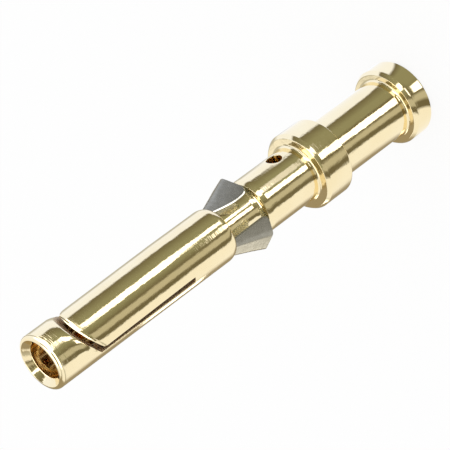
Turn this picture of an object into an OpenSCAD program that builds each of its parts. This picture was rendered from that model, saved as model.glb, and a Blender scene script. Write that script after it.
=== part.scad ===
// Turned crimp socket contact with a split conical retention clip.
// It stands on its crimp end with the socket mouth up. The spring tongue faces -Y.

/* [Crimp end] */
// Diameter of the rear flange
flange_d = 4.2; // [4.1:0.05:5]
// Length of the rear flange
flange_l = 1.28; // [1:0.02:2.5]
// Diameter of the crimp barrel
crimp_d = 3.2; // [2.8:0.05:3.6]
// Length of the crimp barrel between the flange and the collar
crimp_l = 4.9; // [3.5:0.1:7]
// Diameter of the bore that takes the stripped wire
wire_bore_d = 1.85; // [1.1:0.05:2.1]
// Diameter of the countersunk wire entry at the rear face
wire_entry_d = 2.8; // [2.3:0.05:3.4]

/* [Collar] */
// Diameter of the collar that stops the contact in its insert
collar_d = 4.2; // [4.1:0.05:5]
// Length of the collar
collar_l = 1.8; // [1.5:0.05:3]

/* [Sight segment] */
// Diameter of the segment between the collar and the neck
segment_d = 3; // [2.7:0.05:3.4]
// Length of that segment
segment_l = 3.6; // [2.6:0.1:5]
// Diameter of the sight hole that shows the wire
sight_hole_d = 0.82; // [0.5:0.02:1.1]
// Distance from the collar to the middle of the sight hole
sight_hole_offset = 1.15; // [0.95:0.05:1.6]
// Angle from the spring tongue round to the sight hole
sight_hole_angle = 29; // [-180:1:180]

/* [Neck] */
// Diameter of the neck that the clip sits round
neck_d = 2.05; // [1.5:0.05:2.3]
// Length of the neck groove
neck_l = 2.3; // [2:0.05:3]

/* [Socket barrel] */
// Diameter of the socket barrel
barrel_d = 2.9; // [2.7:0.05:3.4]
// Length of the socket barrel
barrel_l = 11.7; // [11:0.05:15]
// Diameter of the bore behind the entry ring, which the tongue narrows
socket_bore_d = 1.59; // [1.3:0.01:1.6]
// Diameter of the entry ring's bore, which leads the pin in
entry_bore_d = 1.9; // [1.7:0.05:2.05]
// Diameter of the countersunk mouth at the front face
mouth_d = 2.42; // [2.2:0.02:2.5]

/* [Spring tongue] */
// Length of the closed entry ring on the tongue's side
entry_ring_l = 1.43; // [1.2:0.01:2.2]
// Width of the oblique cut behind the entry ring
cut_w = 0.28; // [0.2:0.02:0.5]
// Slope of the oblique cut
cut_angle = 41; // [25:1:50]
// Width of the two side slots, whose fixed sides lie level with the axis
slot_w = 0.33; // [0.3:0.01:0.6]
// Distance from the mouth to the root of the side slots
slot_reach = 8.75; // [7:0.05:9.6]
// Straight length of the tongue between its root and its bend
tongue_straight_l = 0.4; // [0.2:0.05:1]
// Angle by which the tongue is bent inwards
tongue_bend = 1.6; // [0.5:0.05:2]

/* [Retention clip] */
// Thickness of the clip's sheet
clip_t = 0.1; // [0.06:0.01:0.16]
// Length of the clip along the neck
clip_l = 1.84; // [1.4:0.02:1.9]
// Outer diameter of the clip at its wide rim
clip_rim_d = 4.02; // [3.6:0.02:4.5]
// Step from the edge of the barrel's shoulder in to the clip's narrow end
clip_inset = 0.02; // [0:0.01:0.1]
// Width of the gap in the clip
clip_gap_w = 1.6; // [1.2:0.05:2]
// Radius of the clip's corners at the wide rim
clip_corner_r = 0.35; // [0.15:0.05:0.6]
// Angle from the spring tongue round to the middle of the gap
clip_gap_angle = -20; // [-180:1:180]
// Play between the clip's narrow end and the barrel's shoulder
clip_play = 0.02; // [0.01:0.01:0.1]

/* [Edges] */
// Length of the eased front edge of the collar and the flange
crown_l = 0.3; // [0.2:0.01:0.6]
// Depth of that eased edge
crown_drop = 0.12; // [0.05:0.005:0.15]
// Length of the eased edges on both sides of the neck groove
groove_crown_l = 0.36; // [0.2:0.01:0.4]
// Depth of those eased edges
groove_crown_drop = 0.1; // [0.07:0.005:0.15]
// Radius of the barrel's edge round the mouth
mouth_round = 0.2; // [0.05:0.01:0.2]
// Radius of the rear edges of the flange and the collar
rear_round = 0.12; // [0.05:0.01:0.3]
// Radius of the fillet in front of the collar
collar_fillet = 0.33; // [0.1:0.01:0.45]
// Radius of the fillet in front of the flange
flange_fillet = 0.25; // [0.1:0.01:0.4]
// Radius of the fillet at the rear end of the neck
neck_fillet = 0.2; // [0.05:0.01:0.3]
// Radius that the turning tool leaves behind the collar and the barrel
tool_fillet = 0.08; // [0.03:0.01:0.15]

/* [Hidden] */
$fn = 128;

// Heights of the faces above the crimp end
flange_z = flange_l;
collar_low_z = flange_z + crimp_l;
collar_z = collar_low_z + collar_l;
segment_z = collar_z + segment_l;
shoulder_z = segment_z + neck_l;
mouth_z = shoulder_z + barrel_l;
sight_hole_z = collar_z + sight_hole_offset;
slot_root_z = mouth_z - slot_reach;
bend_z = slot_root_z + tongue_straight_l;
clip_top_z = shoulder_z - clip_play;
clip_rim_z = clip_top_z - clip_l;

// Distance that a cutting shape passes the surface it cuts
over = 0.5;

// Sides of the slots, as distances from the axis: the fixed half and the tongue
slot_fixed_y = 0;
slot_tongue_y = slot_fixed_y - slot_w;

// Eased edges, each as its length along the axis and its depth
crown = [crown_l, crown_drop];
groove_crown = [groove_crown_l, groove_crown_drop];
mouth_edge = [mouth_round, mouth_round];
rear_edge = [rear_round, rear_round];

// Drilled holes: a point of 118 degrees, each hole a little longer than what it serves
drill_half_angle = 59;
wire_bore_past_hole = 0.05;
socket_bore_past_slots = 0.9;
wire_bore_l = sight_hole_z + sight_hole_d / 2 + wire_bore_past_hole;
socket_bore_l = slot_reach + socket_bore_past_slots;

// Narrow end of the clip, and its wall measured across the axis
clip_top_d = barrel_d - 2 * groove_crown_drop - 2 * clip_inset;
clip_slope = atan((clip_rim_d - clip_top_d) / 2 / clip_l);
clip_wall = clip_t / cos(clip_slope);

// Largest fillet up to the limit that the face above a rod leaves room for
function fillet_in(limit, rod_d, face_d) = min(limit, (face_d - rod_d) / 2);

// Height of the oblique cut's front wall at a distance y from the axis
function cut_front_z(y) = mouth_z - entry_ring_l - (y + barrel_d / 2) * tan(cut_angle);

// Height of the oblique cut's rear wall, which is the tip of the tongue
function cut_back_z(y) = cut_front_z(y) - cut_w / cos(cut_angle);

// End of a turned length in half section: an arc leaves the side line and stops at the face
module eased_end(d, edge) {
    arc_r = (pow(edge[0], 2) + pow(edge[1], 2)) / (2 * edge[1]);
    square([d / 2 - arc_r, edge[0]]);
    translate([d / 2 - arc_r, 0])
        intersection() {
            circle(r = arc_r);
            square([arc_r, edge[0]]);
        }
}

// Turned length in half section, with its rear and front edges eased where an edge is given
module turned(z0, z1, d, rear = [0, 0], front = [0, 0]) {
    translate([0, z0 + rear[0]])
        square([d / 2, z1 - z0 - rear[0] - front[0]]);
    if (front[0] > 0)
        translate([0, z1 - front[0]])
            eased_end(d, front);
    if (rear[0] > 0)
        translate([0, z0 + rear[0]])
            mirror([0, 1])
                eased_end(d, rear);
}

// Hollow corner in half section, where a rod of diameter d stands on a face
module fillet(d, r) {
    translate([d / 2, 0])
        difference() {
            square(r);
            translate([r, r])
                circle(r = r);
        }
}

// Half section of the whole turned bar: a core as slim as the neck, and each length round it
module bar_section() {
    turned(0, mouth_z, neck_d);
    turned(0, flange_z, flange_d, rear = rear_edge, front = crown);
    turned(flange_z, collar_low_z, crimp_d);
    turned(collar_low_z, collar_z, collar_d, rear = rear_edge, front = crown);
    turned(collar_z, segment_z, segment_d, front = groove_crown);
    turned(shoulder_z, mouth_z, barrel_d, rear = groove_crown, front = mouth_edge);
    translate([0, flange_z])
        fillet(crimp_d, fillet_in(flange_fillet, crimp_d, flange_d - 2 * crown_drop));
    translate([0, collar_z])
        fillet(segment_d, fillet_in(collar_fillet, segment_d, collar_d - 2 * crown_drop));
    translate([0, segment_z])
        fillet(neck_d, fillet_in(neck_fillet, neck_d, segment_d - 2 * groove_crown_drop));
    translate([0, collar_low_z])
        mirror([0, 1])
            fillet(crimp_d, tool_fillet);
    translate([0, shoulder_z])
        mirror([0, 1])
            fillet(neck_d, tool_fillet);
}

// Turned bar, with the line where its surface closes on the far side from the tongue
module bar() {
    rotate([0, 0, 90])
        rotate_extrude()
            bar_section();
}

// Blind drilled hole up from z = 0, with a countersunk entry
module drilled(d, depth, entry_d) {
    point_l = d / 2 / tan(drill_half_angle);
    entry_l = (entry_d - d) / 2;
    rotate([0, 0, 90])
        rotate_extrude()
            polygon([
                [0, -over],
                [entry_d / 2 + over, -over],
                [d / 2, entry_l],
                [d / 2, depth],
                [0, depth + point_l]
            ]);
}

// Socket bore, opened a little wider inside the entry ring
module socket_bore() {
    translate([0, 0, mouth_z])
        rotate([0, 180, 0])
            drilled(socket_bore_d, socket_bore_l, mouth_d);
    translate([0, 0, mouth_z - entry_ring_l])
        rotate([0, 0, 90])
            cylinder(d = entry_bore_d, h = entry_ring_l + over);
}

module wire_bore() {
    drilled(wire_bore_d, wire_bore_l, wire_entry_d);
}

// Hole from the outside of the sight segment to the wire bore
module sight_hole() {
    rotate([0, 0, sight_hole_angle])
        translate([0, 0, sight_hole_z])
            rotate([90, 0, 0])
                cylinder(d = sight_hole_d, h = segment_d / 2 + over);
}

// Prism on the tongue's side of the plane y = edge, drawn in side view and swept across the barrel
module tongue_prism(edge, z_low, z_edge, z_far) {
    rotate([90, 0, 90])
        linear_extrude(height = barrel_d + 2 * over, center = true)
            polygon([[-barrel_d, z_low], [edge, z_low], [edge, z_edge], [-barrel_d, z_far]]);
}

// Space in front of the mitre plane, where the bent tongue joins its straight root
module beyond_mitre() {
    side = 2 * barrel_d;
    translate([0, 0, bend_z])
        rotate([-tongue_bend / 2, 0, 0])
            translate([-side / 2, -side / 2, 0])
                cube([side, side, slot_reach]);
}

// Room that the side slots and the oblique cut open round the tongue, less the tongue's straight root
module tongue_space() {
    difference() {
        tongue_prism(slot_fixed_y, slot_root_z, cut_front_z(slot_fixed_y), cut_front_z(-barrel_d));
        difference() {
            tongue_prism(slot_tongue_y, slot_root_z - over, mouth_z, mouth_z);
            beyond_mitre();
        }
    }
}

// Half tube that the saw cuts free, bent inwards, with a length behind its bend that lies in its root
module tongue() {
    translate([0, 0, bend_z])
        rotate([-tongue_bend, 0, 0])
            translate([0, 0, -bend_z])
                difference() {
                    intersection() {
                        translate([0, 0, bend_z - over])
                            cylinder(d = barrel_d, h = barrel_l);
                        tongue_prism(slot_tongue_y, shoulder_z,
                                     cut_back_z(slot_tongue_y), cut_back_z(-barrel_d));
                    }
                    translate([0, 0, shoulder_z])
                        cylinder(d = socket_bore_d, h = barrel_l);
                }
}

// Socket bore and saw cuts, round the tongue that they leave standing
module socket_space() {
    difference() {
        union() {
            socket_bore();
            tongue_space();
        }
        tongue();
    }
}

module contact_body() {
    color("gold")
        difference() {
            bar();
            wire_bore();
            sight_hole();
            socket_space();
        }
}

// Gap of the clip in front view: parallel sides that flare into rounded corners at the rim
module clip_gap() {
    translate([-clip_gap_w / 2, -over])
        square([clip_gap_w, clip_l + 2 * over]);
    for (side = [0, 1])
        mirror([side, 0])
            translate([clip_gap_w / 2, -over])
                difference() {
                    square([clip_corner_r, clip_corner_r + over]);
                    translate([clip_corner_r, clip_corner_r + over])
                        circle(r = clip_corner_r);
                }
}

module retention_clip() {
    color("silver")
        translate([0, 0, clip_rim_z])
            difference() {
                rotate_extrude()
                    polygon([
                        [clip_rim_d / 2 - clip_wall, 0],
                        [clip_rim_d / 2, 0],
                        [clip_top_d / 2, clip_l],
                        [clip_top_d / 2 - clip_wall, clip_l]
                    ]);
                rotate([90, 0, clip_gap_angle])
                    linear_extrude(height = clip_rim_d)
                        clip_gap();
            }
}

contact_body();
retention_clip();
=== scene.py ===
"""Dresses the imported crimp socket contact: bright gold body, steel clip, studio and camera.

Lengths in this file are millimetres and angles are degrees, unless a name says otherwise.
Angles round the axis start at -Y, the middle of the spring tongue, and grow towards +X.
"""
import logging
import math
from dataclasses import dataclass, field
from enum import Enum, IntEnum

import bmesh
import bpy
import numpy as np
from mathutils import Matrix, Vector


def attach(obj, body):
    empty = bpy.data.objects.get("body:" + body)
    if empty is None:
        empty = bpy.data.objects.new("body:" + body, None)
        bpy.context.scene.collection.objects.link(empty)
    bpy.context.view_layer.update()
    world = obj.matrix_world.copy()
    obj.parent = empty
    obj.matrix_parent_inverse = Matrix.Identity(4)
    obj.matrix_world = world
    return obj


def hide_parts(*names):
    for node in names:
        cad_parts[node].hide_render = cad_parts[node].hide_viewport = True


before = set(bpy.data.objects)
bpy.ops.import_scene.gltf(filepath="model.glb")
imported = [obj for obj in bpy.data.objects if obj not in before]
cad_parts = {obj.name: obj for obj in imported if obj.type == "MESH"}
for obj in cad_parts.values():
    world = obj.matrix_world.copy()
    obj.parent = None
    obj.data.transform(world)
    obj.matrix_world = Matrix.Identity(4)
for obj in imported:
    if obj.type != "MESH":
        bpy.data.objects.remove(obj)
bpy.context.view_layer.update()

LOG = logging.getLogger("contact")
MM = 0.001
BODY = "root"
BOUNCES = 12

# Lengths and cosines below this count as nothing
CLOSE = 1e-6

# Places of the points round a small eased edge
EASE_SHARES = (0.0, 1 / 3, 2 / 3, 1.0)

# Part of the noise's range that an effect spreads out
NOISE_SPAN = (0.3, 0.7)

Point = tuple[float, float]
Colour = tuple[float, float, float]
Cell = tuple[int, int]
Socket = bpy.types.NodeSocket


def smoothstep(x: np.ndarray) -> np.ndarray:
    """Ease from 0 to 1 with level ends."""
    x = np.clip(x, 0.0, 1.0)
    return x * x * (3.0 - 2.0 * x)


def new_piece(name: str, vertices: list, faces: list, sharp_angle: float = 30.0,
              finishes: list[int] | None = None) -> bpy.types.Object:
    """Make a smooth-shaded mesh object.

    Args:
        name: Name of the piece.
        vertices: Points in millimetres.
        faces: Vertex numbers of each face.
        sharp_angle: Angle above which an edge stays sharp.
        finishes: Number of each face's material, when there is more than one.

    Returns:
        The new object, linked to the scene.
    """
    mesh = bpy.data.meshes.new(name)
    mesh.from_pydata((np.asarray(vertices) * MM).tolist(), [], faces)
    if finishes is not None:
        mesh.polygons.foreach_set("material_index", finishes)
    mesh.validate()
    mesh.polygons.foreach_set("use_smooth", [True] * len(mesh.polygons))
    mesh.set_sharp_from_angle(angle=math.radians(sharp_angle))
    piece = bpy.data.objects.new(name, mesh)
    bpy.context.collection.objects.link(piece)
    return piece


def log_piece(piece: bpy.types.Object) -> None:
    """Report a piece's size and whether its mesh is closed.

    Args:
        piece: Mesh object to report.
    """
    work = bmesh.new()
    work.from_mesh(piece.data)
    open_edges = sum(1 for edge in work.edges if not edge.is_manifold)
    triangles = sum(len(face.verts) - 2 for face in work.faces)
    volume = work.calc_volume(signed=True) / MM ** 3
    work.free()
    LOG.info("%s: %d triangles, %d open edges, %.2f mm3", piece.name, triangles, open_edges, volume)


@dataclass
class ProfilePen:
    """Draws part of a half section, as points (radius, height)."""

    points: list[Point] = field(default_factory=list)
    soft: float = 0.03
    corner_angle: float = 22.0
    margin: float = 0.03
    arc_steps: int = 9

    CORNER_SHARE = 0.4
    LONG_LINE = 5

    def to(self, *points: Point) -> "ProfilePen":
        """Draw straight lines through the given points."""
        self.points.extend(points)
        return self

    def arc(self, centre: Point, end: Point) -> "ProfilePen":
        """Draw the shorter arc from the last point to the end.

        Args:
            centre: Centre of the arc.
            end: Last point of the arc.

        Returns:
            This pen.
        """
        start = self.points[-1]
        radius = math.dist(start, centre)
        first = math.atan2(start[1] - centre[1], start[0] - centre[0])
        last = math.atan2(end[1] - centre[1], end[0] - centre[0])
        sweep = math.remainder(last - first, math.tau)
        for step in range(1, self.arc_steps + 1):
            angle = first + sweep * step / self.arc_steps
            self.points.append((centre[0] + radius * math.cos(angle), centre[1] + radius * math.sin(angle)))
        return self

    def crown(self, length: float, drop: float, curl: float) -> "ProfilePen":
        """Draw the flat arc that eases the end of a turned length.

        Args:
            length: Length of the eased edge along the axis.
            drop: Fall of the eased edge towards the axis, below zero where it rises.
            curl: Angle between the arc and its chord, at either end.

        Returns:
            This pen.
        """
        r, z = self.points[-1]
        lean = math.atan2(abs(drop), length)
        radius = math.hypot(length, drop) / (2 * math.sin(math.radians(curl)))
        first = math.copysign(1.0, drop) * lean - math.radians(curl)
        centre = (r - radius * math.cos(first), z - radius * math.sin(first))
        return self.arc(centre, (r - drop, z + length))

    def face(self, inner_r: float, fillet: float, slope: float) -> "ProfilePen":
        """Draw an end face that rises inwards a little and runs into the next length with a fillet.

        Args:
            inner_r: Radius of the next length.
            fillet: Radius of the fillet.
            slope: Angle by which the face rises inwards.

        Returns:
            This pen.
        """
        r, z = self.points[-1]
        rise, level = math.sin(math.radians(slope)), math.cos(math.radians(slope))
        foot_r = inner_r + fillet * (1 - rise)
        foot_z = z + (r - foot_r) * rise / level
        centre_z = foot_z + fillet * level
        return self.to((foot_r, foot_z)).arc((inner_r + fillet, centre_z), (inner_r, centre_z))

    def softened(self) -> list[Point]:
        """Turn each corner into a small curve.

        Returns:
            The softened points.
        """
        result = [self.points[0]]
        for before, corner, after in zip(self.points, self.points[1:], self.points[2:]):
            a = Vector(before) - Vector(corner)
            b = Vector(after) - Vector(corner)
            turn = 180.0 - math.degrees(a.angle(b))
            if turn < self.corner_angle:
                result.append(corner)
                continue
            start = Vector(corner) + a.normalized() * min(self.soft, self.CORNER_SHARE * a.length)
            end = Vector(corner) + b.normalized() * min(self.soft, self.CORNER_SHARE * b.length)
            for u in EASE_SHARES:
                at = start * (1 - u) ** 2 + Vector(corner) * 2 * u * (1 - u) + end * u ** 2
                result.append((at.x, at.y))
        result.append(self.points[-1])
        return result

    def rows(self) -> list[Point]:
        """Place the skin's rows along the profile.

        Returns:
            The softened points, with one more beside each end of a long line.
        """
        soft = self.softened()
        result = [soft[0]]
        for a, b in zip(soft, soft[1:]):
            length = math.dist(a, b)
            if length > self.LONG_LINE * self.margin:
                for share in (self.margin / length, 1 - self.margin / length):
                    result.append((a[0] + (b[0] - a[0]) * share, a[1] + (b[1] - a[1]) * share))
            result.append(b)
        return result


class Stretch(Enum):
    """Stretches of the socket barrel round the axis."""

    SLOT = "slot"
    TONGUE = "tongue"
    FIXED = "fixed"


@dataclass
class Columns:
    """Columns of the body's skin, shared by all its rows.

    Each column has an angle on the barrel and one in the socket bore. Those beside a slot
    have a share of the slot's eased edge: 0 where it starts and 1 at the slot's wall.
    """

    outer: list[float] = field(default_factory=list)
    inner: list[float] = field(default_factory=list)
    ease: list[float] = field(default_factory=list)
    stretch: list[Stretch] = field(default_factory=list)

    def add(self, outer: float, inner: float, stretch: Stretch, ease: float = 0.0) -> None:
        """Add one column.

        Args:
            outer: Angle on the barrel.
            inner: Angle in the socket bore.
            stretch: Stretch of the barrel that starts at this column.
            ease: Share of a slot's eased edge.
        """
        self.outer.append(outer)
        self.inner.append(inner)
        self.stretch.append(stretch)
        self.ease.append(ease)

    def cells(self, wanted: Stretch) -> list[int]:
        """Return the numbers of the cells that lie in one kind of stretch."""
        return [number for number, stretch in enumerate(self.stretch) if stretch is wanted]


class BodyFinish(IntEnum):
    """Finishes of the body, as the numbers of its materials."""

    TURNED = 0
    # The bores' material: a slightly rougher plate with a darker, duller colour that is painted shade inside
    # the bores
    BORE = 1
    # The saw cuts' walls: a rough sawn surface with a dark brown colour that is painted shade in the narrow
    # cuts
    SAWN = 2


class Skin:
    """Closed surface of rows round the axis, with holes cut through from outside to inside."""

    WALL_LAYERS = (0.06, 0.5, 0.94)

    def __init__(self, width: int) -> None:
        """Start an empty skin.

        Args:
            width: Number of its columns.
        """
        self.width = width
        self.rows: list[np.ndarray] = []
        self.inside: list[bool] = []
        self.removed: set[Cell] = set()
        self.walls: list[tuple[BodyFinish, tuple[Cell, ...]]] = []

    def add(self, row: np.ndarray, inside: bool = False) -> int:
        """Add a row of points.

        Args:
            row: Its points, one for each column.
            inside: Whether it lies in a bore.

        Returns:
            The row's number.
        """
        self.rows.append(np.asarray(row, dtype=float))
        self.inside.append(inside)
        return len(self.rows) - 1

    def cut(self, cells: set[Cell], outer: list[int], inner: list[int], finish: BodyFinish) -> None:
        """Cut a hole through the wall.

        Args:
            cells: Cells of the hole, as (place in outer, column).
            outer: Row numbers on the outside, from the crimp end up.
            inner: Row numbers of the same stations inside.
            finish: Finish of the hole's walls.
        """
        for k, i in cells:
            self.removed.add((outer[k], i))
            self.removed.add((inner[k + 1], i))
            right = (i + 1) % self.width
            corners = ((k, i), (k, right), (k + 1, right), (k + 1, i))
            beside = ((k - 1, i), (k, right), (k + 1, i), (k, (i - 1) % self.width))
            for side, neighbour in enumerate(beside):
                if neighbour not in cells:
                    a, b = corners[side], corners[(side + 1) % 4]
                    self.walls.append((finish, ((outer[a[0]], a[1]), (outer[b[0]], b[1]),
                                                (inner[b[0]], b[1]), (inner[a[0]], a[1]))))

    def mesh(self) -> tuple[list, list, list[int]]:
        """Close the skin.

        Returns:
            Its vertices, its faces and the finish of each face.
        """
        vertices: list[np.ndarray] = []
        numbers: dict = {}

        def number(key: tuple, place: np.ndarray) -> int:
            """Number a point, and add it when it is new.

            Args:
                key: What tells the point from all others.
                place: Where it lies.

            Returns:
                The point's number.
            """
            if key not in numbers:
                numbers[key] = len(vertices)
                vertices.append(place)
            return numbers[key]

        def grid(j: int, i: int) -> int:
            """Number a point of the grid, where a row on the axis is one point.

            Args:
                j: Its row.
                i: Its column.

            Returns:
                The point's number.
            """
            row = self.rows[j]
            on_axis = float(np.hypot(row[:, 0], row[:, 1]).max()) < CLOSE
            return number((j, 0 if on_axis else i), row[0 if on_axis else i])

        def layered(out: Cell, into: Cell) -> list[int]:
            """Number the points down a wall.

            Args:
                out: Row and column of the point outside.
                into: Row and column of the point inside.

            Returns:
                The numbers, from outside to inside.
            """
            start, end = self.rows[out[0]][out[1]], self.rows[into[0]][into[1]]
            between = [number((out, into, share), start + (end - start) * share)
                       for share in self.WALL_LAYERS]
            return [grid(*out), *between, grid(*into)]

        faces: list[tuple[int, ...]] = []
        finishes: list[int] = []
        for j in range(len(self.rows) - 1):
            for i in range(self.width):
                if (j, i) in self.removed:
                    continue
                right = (i + 1) % self.width
                loop = [grid(j, i), grid(j, right), grid(j + 1, right), grid(j + 1, i)]
                faces.append(tuple(dict.fromkeys(loop)))
                # Faces inside a bore take the darker bore material, which paints shade into the bores
                in_bore = self.inside[j] and self.inside[j + 1]
                finishes.append(BodyFinish.BORE if in_bore else BodyFinish.TURNED)
        for finish, (a_out, b_out, b_in, a_in) in self.walls:
            near, far = layered(a_out, a_in), layered(b_out, b_in)
            for layer in range(len(near) - 1):
                faces.append((near[layer], far[layer], far[layer + 1], near[layer + 1]))
                finishes.append(finish)
        return vertices, faces, finishes


@dataclass
class ContactBody:
    """Turned, drilled, slit and gold-plated body of the contact."""

    # Crimp end
    flange_d: float = 4.2
    flange_l: float = 1.28
    crimp_d: float = 3.2
    crimp_l: float = 4.9
    wire_bore_d: float = 1.85
    wire_entry_d: float = 2.8
    wire_bore_past_hole: float = 0.05
    drill_half_angle: float = 59.0

    # Collar, sight segment and neck
    collar_d: float = 4.2
    collar_l: float = 1.8
    segment_d: float = 3.0
    segment_l: float = 3.6
    sight_hole_d: float = 0.82
    sight_hole_offset: float = 1.15
    sight_hole_angle: float = 29.0
    neck_d: float = 2.05
    neck_l: float = 2.3

    # Socket barrel and its mouth
    barrel_d: float = 2.9
    barrel_l: float = 11.7
    socket_bore_d: float = 1.59
    socket_bore_past_slots: float = 0.9
    entry_bore_d: float = 1.9
    entry_ring_l: float = 1.43
    mouth_d: float = 2.48
    mouth_l: float = 0.3

    # Saw cuts and tongue
    cut_w: float = 0.28
    cut_angle: float = 41.0
    cut_open: float = 0.14
    slot_w: float = 0.33
    slot_reach: float = 8.75
    tongue_straight_l: float = 0.4
    tongue_bend: float = 1.6

    # Eased edges
    crown_l: float = 0.2
    crown_drop: float = 0.14
    crown_curl: float = 4.0
    groove_crown_l: float = 0.36
    groove_crown_drop: float = 0.1
    groove_curl: float = 15.0
    mouth_round: float = 0.2
    rear_round: float = 0.12
    collar_fillet: float = 0.16
    flange_fillet: float = 0.14
    face_slope: float = 4.0
    neck_fillet: float = 0.37
    tool_fillet: float = 0.08
    slot_ease: float = 0.02
    tip_bevel_l: float = 0.22
    tip_bevel_drop: float = 0.05
    ring_bevel_l: float = 0.34
    ring_bevel_drop: float = 0.12
    bore_ease: float = 0.04
    hole_ease: float = 0.06
    inner_hole_ease: float = 0.01

    # Rows and columns of the mesh
    PATCH = 14
    HOLE = 8
    HOLE_EASED = 3
    PATCH_HALF = 0.7
    INNER_PATCH_HALF = 0.44
    PATCH_MARGIN = 0.03
    CUT_SHARES = (0.0, 0.2, 0.4, 0.6, 0.8, 1.0)
    TIP_SHARES = (0.25, 0.5, 0.75)
    TIP_STRETCH = 0.8
    BEND_ROWS = 8
    TONGUE_ROWS = 4
    ROOT_MARGIN = 0.05
    RING_MARGIN = 0.1
    MOUTH_MARGIN = 0.06
    BEVEL_CURVE = 1.3
    BEVEL_FADE = 0.35
    STEP_DEGREES = 2.2
    SLOT_CELLS = 4
    SHARP_ANGLE = 38.0

    def __post_init__(self) -> None:
        """Work out the heights of the faces above the crimp end."""
        self.collar_low_z = self.flange_l + self.crimp_l
        self.collar_z = self.collar_low_z + self.collar_l
        self.segment_z = self.collar_z + self.segment_l
        self.shoulder_z = self.segment_z + self.neck_l
        self.mouth_z = self.shoulder_z + self.barrel_l
        self.hole_z = self.collar_z + self.sight_hole_offset
        self.root_z = self.mouth_z - self.slot_reach
        self.bend_z = self.root_z + self.tongue_straight_l
        self.wire_end_z = self.hole_z + self.sight_hole_d / 2 + self.wire_bore_past_hole
        self.socket_end_z = self.root_z - self.socket_bore_past_slots
        self.barrel_r = self.barrel_d / 2
        self.bore_r = self.socket_bore_d / 2
        self.columns = self.make_columns()
        self.outer_angles = np.radians(self.columns.outer)
        self.inner_angles = np.radians(self.columns.inner)

    def make_columns(self) -> Columns:
        """Lay out the columns from the left slot's fixed side round to the right.

        Returns:
            The columns.
        """
        result = Columns()
        edge_out = math.degrees(math.acos(self.slot_w / self.barrel_r))
        edge_in = math.degrees(math.acos(self.slot_w / self.bore_r))
        ease_out = math.degrees(self.slot_ease / self.barrel_r)
        ease_in = math.degrees(self.bore_ease / self.bore_r)
        spread = (edge_in - ease_in) / (edge_out - ease_out)
        towards, away_from = EASE_SHARES[1:], EASE_SHARES[:0:-1]
        sides = [self.PATCH_HALF * a / self.PATCH for a in range(-self.PATCH, self.PATCH + 1)]
        patch = [self.sight_hole_angle + math.degrees(math.asin(side / (self.segment_d / 2)))
                 for side in sides]

        def even(first: float, last: float, count: int) -> list[float]:
            """Return evenly spaced angles, without the last."""
            return [first + (last - first) * k / count for k in range(count)]

        def cells(first: float, last: float) -> int:
            """Return the number of cells that a stretch needs."""
            return max(1, round((last - first) / self.STEP_DEGREES))

        def across(first: Point, last: Point) -> list[Point]:
            """Return a slot's columns from one wall to the other, each with its two angles."""
            return list(zip(*(even(start, end, self.SLOT_CELLS) for start, end in zip(first, last))))

        def eased(wall: Point, side: int, stretch: Stretch, shares: tuple[float, ...]) -> None:
            """Add the eased edge on one side of a slot's wall, with the wall's own column.

            Args:
                wall: Angles of the wall, outside and inside.
                side: Side on which the edge lies, 1 or -1.
                stretch: Stretch of the barrel that the edge belongs to.
                shares: Shares of the eased edge, in order.
            """
            for u in shares:
                away = side * (1 - u) ** 2
                starts = stretch if side > 0 or u < 1 else Stretch.SLOT
                result.add(wall[0] + ease_out * away, wall[1] + ease_in * away, starts, u)

        left, right = (-edge_out, -edge_in), (edge_out, edge_in)
        for place, (outer, inner) in enumerate(across((-90, -90), left)):
            result.add(outer, inner, Stretch.SLOT, 1.0 if place == 0 else 0.0)
        eased(left, 1, Stretch.TONGUE, away_from)
        first, last = -edge_out + ease_out, edge_out - ease_out
        free = even(first, patch[0], cells(first, patch[0])) + patch[:-1]
        free += even(patch[-1], last, cells(patch[-1], last)) + [last]
        self.patch_column = len(result.outer) + free.index(patch[0])
        for angle in free:
            result.add(angle, angle * spread, Stretch.TONGUE)
        eased(right, -1, Stretch.TONGUE, towards)
        for outer, inner in across(right, (90, 90))[1:]:
            result.add(outer, inner, Stretch.SLOT)
        eased((90, 90), 1, Stretch.FIXED, away_from)
        count = cells(90, 270)
        outer_free = even(90 + ease_out, 270 - ease_out, count) + [270 - ease_out]
        inner_free = even(90 + ease_in, 270 - ease_in, count) + [270 - ease_in]
        for outer, inner in zip(outer_free, inner_free):
            result.add(outer, inner, Stretch.FIXED)
        eased((270, 270), -1, Stretch.FIXED, towards[:-1])
        return result

    def ring_row(self, r: float, z: float, angles: np.ndarray) -> np.ndarray:
        """Return a plain row of points round the axis."""
        return np.stack([r * np.sin(angles), -r * np.cos(angles), np.full_like(angles, z)], axis=1)

    def cut_front(self, y: np.ndarray) -> np.ndarray:
        """Return the height of the oblique cut's front wall at distances y from the axis."""
        slope = math.tan(math.radians(self.cut_angle))
        return self.mouth_z - self.entry_ring_l + self.cut_open - (y + self.barrel_r) * slope

    def cut_back(self, y: np.ndarray) -> np.ndarray:
        """Return the height of the oblique cut's rear wall, the tip of the tongue."""
        return self.cut_front(y) - self.cut_open - self.cut_w / math.cos(math.radians(self.cut_angle))

    def bent(self, row: np.ndarray) -> np.ndarray:
        """Bend points of the tongue inwards, evenly over the stretch beside its root.

        Args:
            row: Points of the straight tongue.

        Returns:
            The same points on the bent tongue.
        """
        angle = math.radians(self.tongue_bend)
        stretch = 2 * self.tongue_straight_l
        t = np.clip((row[:, 2] - self.root_z) / stretch, 0.0, 1.0)
        curved = stretch * (t ** 3 - t ** 4 / 2)
        lift = np.where(t < 1.0, curved, row[:, 2] - self.bend_z)
        result = row.copy()
        result[:, 1] += math.tan(angle) * lift
        result[:, 2] -= row[:, 1] * math.sin(angle) * smoothstep(t)
        return result

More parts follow.
